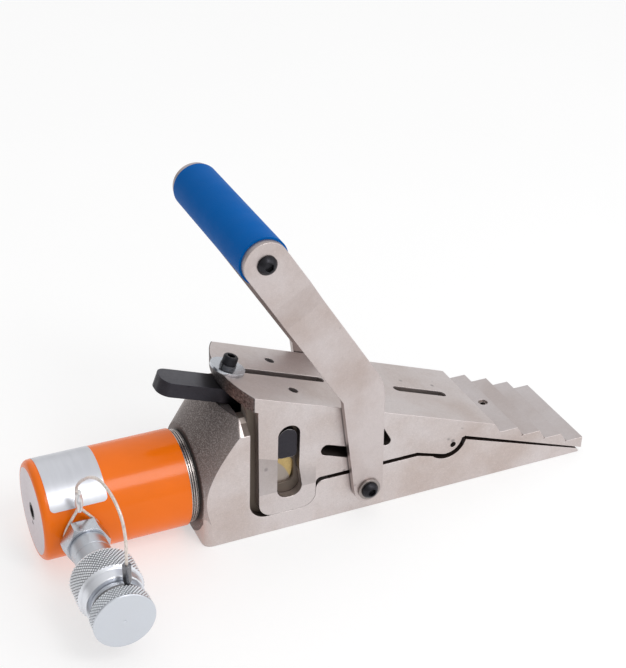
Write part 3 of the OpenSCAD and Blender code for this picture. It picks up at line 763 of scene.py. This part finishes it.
# X from the coupler's axis, Y and Z, as the part's source has them.
ROUTE = [
    (6, -110.2, 64), (6, -110.2, 67), (6, -110.2, 70), (6.5, -109, 84), (6, -104, 97),
    (4.2, -94, 105), (1.8, -80, 106.8), (0.3, -65, 100.1), (-0.7, -49, 87.4),
    (-1.7, -39.6, 77.6), (-2, -36.2, 70.5), (-2, -36.2, 62), (-2, -36.2, 56.5),
    (-6, -36.2, 49.8), (-10, -36.2, 42.6), (-12, -36.2, 35.1), (-10.2, -36.2, 28.2),
    (-5.6, -36.2, 24.2), (0, -36.2, 23), (5.6, -36.2, 24.2), (10.2, -36.2, 28.2),
    (12, -36.2, 35.1), (10, -36.2, 42.6), (5, -36.2, 49.8), (0.1, -36.2, 56.5),
    (0.1, -36.2, 62), (0.1, -36.2, 68),
]
WIRE_D = 0.002
# Middle of the wire's two runs in the crimp, from the coupler's axis
CRIMP_X = -0.95
CRIMP_Y = -36.2


def twisted(angle, place):
    """Radius of the crimp: an oval that turns along it."""
    return 2.25 + 0.36 * math.cos(2 * angle - place * 0.5)


def make_crimp():
    form = Turned(at(COUPLER_S + CRIMP_X, CRIMP_Y, 0), UP, AHEAD, 32)
    form.plain((55.0, 0), (55.0, 2.0))
    form.plain(*[(55.2 + 0.64 * k, twisted) for k in range(23)])
    form.plain((69.5, 2.0), (69.5, 0))
    metal = plain_steel("crimp_zinc", (0.74, 0.73, 0.73), rough=0.34, cloud=0.03)
    crimp = add_piece("wire_crimp", *form.build(), metal, "lower_jaw_body", "zinc", 50)
    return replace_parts(crimp, "tether_crimp")


def make_tether():
    """The wire runs from the jaw to the cap and is baked in place, with no body."""
    crimp = make_crimp()
    path = smooth_path([at(COUPLER_S + x, y, z) for x, y, z in ROUTE], 4)
    verts, faces = tube(path, WIRE_D / 2, 12)
    wire = add_piece("wire", verts, faces, MATERIALS["tether_steel"], None, "tether_steel", 60)
    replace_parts(wire, "tether_wire")
    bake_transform(wire)


make_tether()


def lobes(angle, place):
    """Radius of the ferrule: four ribs lengthways."""
    return 2.5 + 0.24 * math.cos(4 * angle + 0.6)


def make_ferrule():
    """Dark crimped sleeve with lengthways ribs, on a strap round the cap's hub."""
    x, y, z = ROUTE[0]
    sleeve = Turned(at(COUPLER_S + x, y, z), UP, AHEAD, 48)
    sleeve.plain((-14, 0), (-14, 1.9), (-10.2, 2.1), (-9.9, 2.4))
    sleeve.plain(*[(-9.6 + 1.5 * k, lobes) for k in range(9)])
    sleeve.plain((2.6, 2.1), (2.6, 0))
    strap = Turned(at(COUPLER_S, 0, AXIS_Z), RIGHT, AHEAD, 96)
    strap.plain((109.2, 15.8), (109.2, 17.1), (109.5, 17.4), (111.7, 17.4), (112, 17.1),
                (112, 15.8))
    metal = plain_steel("ferrule_steel", (0.22, 0.22, 0.235), 0.15,
                        rough=0.2, cloud=0.1, grain=0.3, edge=0.9)
    verts, faces = joined(sleeve.build(), strap.build(closed=True))
    piece = add_piece("ferrule", verts, faces, metal, "cap_body", "zinc")
    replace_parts(piece, "tether_ferrule")


make_ferrule()

# Coupler

AROUND = 108
CAP_R = 19.4
CAP_KNURL = (113.2, 121.2)
COLLAR_R = 21.3
COLLAR_LEAN = (74.8, 78.8)
COLLAR_LEAN_R = 17.9
COLLAR_KNURL = (80.06, 94.96)
# Growth of the leaning crests' radius for each millimetre
LEAN_RISE = 0.773


def knurled_zinc(name, base, start, end, r, lean=0.0):
    """Zinc with dark grooves and painted highlights on the crests of the knurl between two
    places.

    r is the crests' radius, which may lean up to it from a smaller one at the start."""
    m = Steel(name, base, rough=0.26, cloud=0.03, grain=0.02, edge=0.3)
    m.rough = m.uneven(30, 2, 0.30, 0.37)
    m.height = m.noise(90, 2)
    out = m.radius(m.x, station(COUPLER_S), m.z, AXIS_Z * MM)
    place = m.times(m.y, -1)
    full = r * MM
    if lean:
        rise = m.times(m.minus(place, start * MM), LEAN_RISE)
        full = m.math("MINIMUM", full, m.plus(rise, lean * MM))
    deep = m.minus(full, out)
    groove = m.times(m.remap(deep, 0.00052, 0.00076),
                     m.within(place, (start - 0.1) * MM, (end + 0.1) * MM))
    m.tint(groove, (0.06, 0.066, 0.076), 0.4, 0.82)
    # Painted highlight on the knurl's crests
    crest = m.times(m.remap(deep, 0.00046, 0.00018), m.within(place, start * MM, end * MM))
    m.tint(crest, (0.95, 0.97, 1.0), amount=0.9)
    return m.done(0.02)


def on_coupler():
    """A form on the coupler's axis. Its places are distances from the centre plane."""
    return Turned(at(COUPLER_S, 0, AXIS_Z), RIGHT, AHEAD, AROUND)


def make_neck():
    """The coupler's body: a wide neck with a fine groove, and its nipple in the collar."""
    form = on_coupler()
    form.plain((49, 8.05), (49, 11.8), (49.5, 12.2), (59.4, 12.2), (59.6, 11.95),
               (60.0, 11.95), (60.2, 12.2), (73.3, 12.2), (73.7, 11.8), (73.7, 11.5),
               (89.7, 11.5), (90, 11.2), (90, 3.0), (57.2, 3.0), (57.2, 8.05))
    metal = plain_steel("neck_zinc", (0.56, 0.585, 0.63), 0.03,
                        rough=0.34, cloud=0.04, grain=0.05)
    piece = add_piece("neck", *form.build(closed=True), metal, "lower_jaw_body", "zinc", 25)
    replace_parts(piece, "coupler_body")


def make_collar():
    form = on_coupler()
    form.plain((74, 11.7), (74, 16.9), (74.3, 17.3))
    form.knurl(*COLLAR_LEAN, COLLAR_LEAN_R, COLLAR_R, 4, 0.75)
    form.knurl(*COLLAR_KNURL, COLLAR_R, COLLAR_R, 12, 0.85)
    form.plain((95.2, 20.6), (96.0, 19.5), (96.6, 19.3), (97.0, 18.9), (97.6, 19.2),
               (103.3, 18.8), (104, 18.2), (104, 14.6), (91.2, 14.6), (91.2, 11.7))
    metal = knurled_zinc("collar_zinc", (0.78, 0.80, 0.85), COLLAR_LEAN[0], COLLAR_KNURL[1],
                         COLLAR_R, COLLAR_LEAN_R)
    piece = add_piece("collar", *form.build(closed=True), metal, "collar_body", "zinc", 18)
    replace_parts(piece, "coupler_collar")


def make_cap():
    form = on_coupler()
    form.plain((94, 0), (94, 13.8), (94.4, 14.2), (104.3, 14.2), (104.3, 15.3), (104.6, 15.7),
               (106.2, 15.7), (106.5, 15.1), (107.2, 15.1), (107.5, 15.7), (112.2, 15.7),
               (112.5, 16.0), (112.5, 18.4), (112.8, 18.8))
    form.knurl(*CAP_KNURL, CAP_R, CAP_R, 7, 0.75)
    form.plain((121.4, 19.35), (121.9, 19.3), (122.25, 19.05), (122.4, 18.8), (122.4, 1.0),
               (122.3, 0.8), (122.0, 0.5), (122.0, 0))
    metal = knurled_zinc("cap_zinc", (0.64, 0.67, 0.72), *CAP_KNURL, CAP_R)
    piece = add_piece("cap", *form.build(), metal, "cap_body", "zinc", 18)
    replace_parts(piece, "dust_cap")


make_neck()
make_collar()
make_cap()

# Lift screw

SOCKET = hex_radius(5)


def make_lift_screw():
    """Cap screw square to the plate. Its places are heights over the plate's top."""
    up = Vector((math.sin(SLOPE), 0, math.cos(SLOPE)))
    form = Turned(at(LIFT_S, 0, plate_z(LIFT_S)), up, LEFT, 72)
    form.plain((-20.3, 0), (-20.3, 2.6), (-19.9, 3), (3.7, 3), (3.7, 4.7), (3.9, 4.95))
    form.knurl(4.2, 8.8, 5, 5, 1, 0.16, "flutes")
    form.plain((9.1, 4.9), (9.55, 4.5), (9.7, 4.2), (9.7, lambda a, p: SOCKET(a, p) + 0.2),
               (9.5, SOCKET), (6.7, SOCKET), (6.7, 0))
    piece = add_piece("cap_screw", *form.build(), MATERIALS["black_screw"], "wedge_body",
                      "black_screw", 25)
    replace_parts(piece, "lift_screw")


make_lift_screw()

# Button head screws of the handle

SHANK_R = 4.0
SOCKET_DEPTH = 2.2
# Radius of the flat round the socket, and height of the head's rim
CROWN_R = 3.3
RIM_H = 0.8


def dome(r0, h0, r1, h1, count=7):
    """Rows of a spherical cap from radius r0 at height h0 to r1 at h1."""
    centre = (r0 * r0 - r1 * r1 + h0 * h0 - h1 * h1) / (2 * (h0 - h1))
    ball = math.hypot(r0, h0 - centre)
    steps = [r0 + (r1 - r0) * k / (count - 1) for k in range(count)]
    return [(centre + math.sqrt(ball * ball - r * r), r) for r in steps]


def make_buttons(name, node, body, slot, place, head_r, head_h, shank_l):
    """A pair of button head screws, one on each side. The place is s, y and z."""
    s, y, z = place
    pair = []
    for side in (-1, 1):
        form = Turned(at(s, side * y, z), LEFT * side, AHEAD, 48)
        form.plain((-shank_l, 0), (-shank_l, SHANK_R - 0.4), (0.4 - shank_l, SHANK_R),
                   (0, SHANK_R), (0, head_r - 0.25), (0.25, head_r))
        form.plain(*dome(head_r, RIM_H, CROWN_R, head_h))
        form.plain((head_h, lambda a, p: SOCKET(a, p) + 0.15), (head_h - 0.2, SOCKET),
                   (head_h - SOCKET_DEPTH, SOCKET), (head_h - SOCKET_DEPTH, 0))
        pair.append(form.build())
    piece = add_piece(name, *joined(*pair), MATERIALS[slot], body, slot, 35)
    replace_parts(piece, node)


make_buttons("pivot_buttons", "pivot_screws", "lower_jaw_body", "black_screw",
             (117.7, 45.7, 20.4), 6.1, 3.8, 20)
make_buttons("grip_buttons", "grip_screws", "handle_body", "black_screw",
             (32.3, 61, 218.2), 6.35, 3.9, 25)

# Threaded lock ring behind the jaw

RING_BORE_R = 27.3
THREAD_STARTS = (-6.0, -4.5, -2.9)
THREAD_R = 31.9
THREAD_ROOT_R = 31.2


def make_lock_ring():
    form = Turned(at(0, 0, AXIS_Z), AHEAD, RIGHT, 128)
    form.plain((-6.3, RING_BORE_R), (-6.3, 31.0), (-6.1, 31.4))
    for start in THREAD_STARTS:
        form.plain((start, THREAD_R), (start + 0.9, THREAD_R),
                   (start + 1.1, THREAD_ROOT_R), (start + 1.4, THREAD_ROOT_R))
    form.plain((-1.4, 31.7), (-1.0, 31.4), (-1.0, RING_BORE_R))
    m = Steel("ring_steel", (0.50, 0.465, 0.45), rough=0.26, cloud=0.1, grain=0.3, edge=0.6)
    out = m.radius(m.y, 0, m.z, AXIS_Z * MM)
    m.tint(m.remap(out, 0.03165, 0.0313, 0, 0.9), (0.03, 0.025, 0.022), 0.6)
    piece = add_piece("threaded_ring", *form.build(closed=True), m.done(), "lower_jaw_body",
                      "jaw_steel")
    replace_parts(piece, "lock_ring")


make_lock_ring()

# Bare label on the barrel

LABEL_S = (-98.9, -61.5)
LABEL_ANGLE = (30, 150)
BARREL_R = 33.3
LABEL_CORNER = 3.0
LABEL_LIFT = (0.03, 0.16)
LABEL_COUNT = 61
CORNER_STEPS = 6


def label_columns(length):
    """Places along the label, closer together at its rounded corners."""
    quarter = [math.pi / 2 * k / CORNER_STEPS for k in range(CORNER_STEPS + 1)]
    steps = [LABEL_CORNER * (1 - math.cos(angle)) for angle in quarter]
    straight = length - 2 * LABEL_CORNER
    middle = [LABEL_CORNER + straight * k / 6 for k in range(1, 6)]
    return steps + middle + [length - d for d in reversed(steps)]


def label_inset(near):
    """How far the rounded corner draws the edge in, near the label's end."""
    if near >= LABEL_CORNER:
        return 0
    return LABEL_CORNER - math.sqrt(max(0, LABEL_CORNER ** 2 - (LABEL_CORNER - near) ** 2))


def make_label():
    """A thin foil with rounded corners, wrapped round the barrel."""
    length = LABEL_S[1] - LABEL_S[0]
    start = math.radians(LABEL_ANGLE[0])
    arc = math.radians(LABEL_ANGLE[1] - LABEL_ANGLE[0]) * BARREL_R
    columns = label_columns(length)
    n, count = len(columns), LABEL_COUNT
    verts = []
    for lift in LABEL_LIFT:
        r = BARREL_R + lift
        for d in columns:
            inset = label_inset(min(d, length - d))
            for k in range(count):
                along = inset + (arc - 2 * inset) * k / (count - 1)
                angle = start + along / BARREL_R
                verts.append(at(LABEL_S[0] + d, -r * math.cos(angle),
                                AXIS_Z + r * math.sin(angle)))

    def index(layer, i, k):
        return (layer * n + i) * count + k

    faces = []
    for layer in (0, 1):
        for i in range(n - 1):
            for k in range(count - 1):
                faces.append((index(layer, i, k), index(layer, i + 1, k),
                              index(layer, i + 1, k + 1), index(layer, i, k + 1)))
    for i in range(n - 1):
        for k in (0, count - 1):
            faces.append((index(0, i, k), index(0, i + 1, k),
                          index(1, i + 1, k), index(1, i, k)))
    for k in range(count - 1):
        for i in (0, n - 1):
            faces.append((index(0, i, k), index(0, i, k + 1),
                          index(1, i, k + 1), index(1, i, k)))
    add_piece("label", verts, faces, label_foil(), "lower_jaw_body", "zinc", 40)


make_label()

# Return spring inside the hollow rod

COIL_R = 6.2
COIL_WIRE = 2.0
COIL_TURNS = 10
COIL_S = (-63.0, 19.0)
PER_TURN = 24


def make_spring():
    start, end = COIL_S
    steps = PER_TURN * COIL_TURNS
    path = []
    for k in range(steps + 1):
        turn = math.tau * k / PER_TURN
        path.append(at(start + (end - start) * k / steps, COIL_R * math.sin(turn),
                       AXIS_Z + COIL_R * math.cos(turn)))
    verts, faces = tube(path, COIL_WIRE / 2 * MM, 8)
    piece = add_piece("coil_spring", verts, faces, MATERIALS["bright_steel"], "lower_jaw_body",
                      "bright_steel", 50)
    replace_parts(piece, "return_spring")
    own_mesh(piece)


make_spring()

# Light and floor

FLOOR_HALF = 4
FLOOR_Z = -0.0004
# Each row dims the tent along a direction: from, to, strength there and there
TENT = (("Z", 0.0, 0.45, 0.66, 1.0), ("X", -0.85, 0.1, 0.5, 1.0))


def area(name, place, target, size, size_y, power):
    data = bpy.data.lights.new(name, "AREA")
    data.energy = power
    data.shape = "RECTANGLE"
    data.size = size
    data.size_y = size_y
    lamp = bpy.data.objects.new(name, data)
    scene.collection.objects.link(lamp)
    lamp.location = place
    lamp.rotation_euler = (Vector(target) - Vector(place)).to_track_quat("-Z", "Y").to_euler()


def studio_world():
    """A soft tent: dimmer at the horizon and behind the cylinder, brighter above."""
    world = bpy.data.worlds.new("studio")
    world.use_nodes = True
    tree = world.node_tree
    coords = tree.nodes.new("ShaderNodeTexCoord")
    split = tree.nodes.new("ShaderNodeSeparateXYZ")
    tree.links.new(coords.outputs["Generated"], split.inputs["Vector"])
    product = tree.nodes.new("ShaderNodeMath")
    product.operation = "MULTIPLY"
    for i, (axis, *limits) in enumerate(TENT):
        ramp = tree.nodes.new("ShaderNodeMapRange")
        for key, number in zip(RANGE_KEYS, limits):
            ramp.inputs[key].default_value = number
        tree.links.new(split.outputs[axis], ramp.inputs["Value"])
        tree.links.new(ramp.outputs["Result"], product.inputs[i])
    back = tree.nodes["Background"]
    back.inputs["Color"].default_value = (1, 1, 1, 1)
    tree.links.new(product.outputs["Value"], back.inputs["Strength"])
    scene.world = world


def make_floor():
    """Pale and faintly glowing, so that it stays near white up to the horizon."""
    mesh = bpy.data.meshes.new("floor")
    corners = [(x * FLOOR_HALF, y * FLOOR_HALF, FLOOR_Z)
               for x, y in ((-1, -1), (1, -1), (1, 1), (-1, 1))]
    mesh.from_pydata(corners, [], [(0, 1, 2, 3)])
    floor = bpy.data.objects.new("floor", mesh)
    scene.collection.objects.link(floor)
    m = Shader("floor", (0.46, 0.46, 0.46), 0.8)
    m.set("Emission Color", (1, 1, 1, 1))
    m.set("Emission Strength", 0.52)
    m.wire("Base Color", m.mix(m.noise(3, 2), (0.45, 0.45, 0.45), (0.47, 0.47, 0.47)))
    mesh.materials.append(m.mat)


studio_world()
scene.view_settings.view_transform = "Standard"
area("key", (0.19, -0.95, 1.26), (-0.2, 0, 0.04), 0.40, 0.64, 5.2)
area("fill", (0.9, -0.9, 0.7), (0, 0, 0.05), 0.8, 0.8, 2.5)
make_floor()
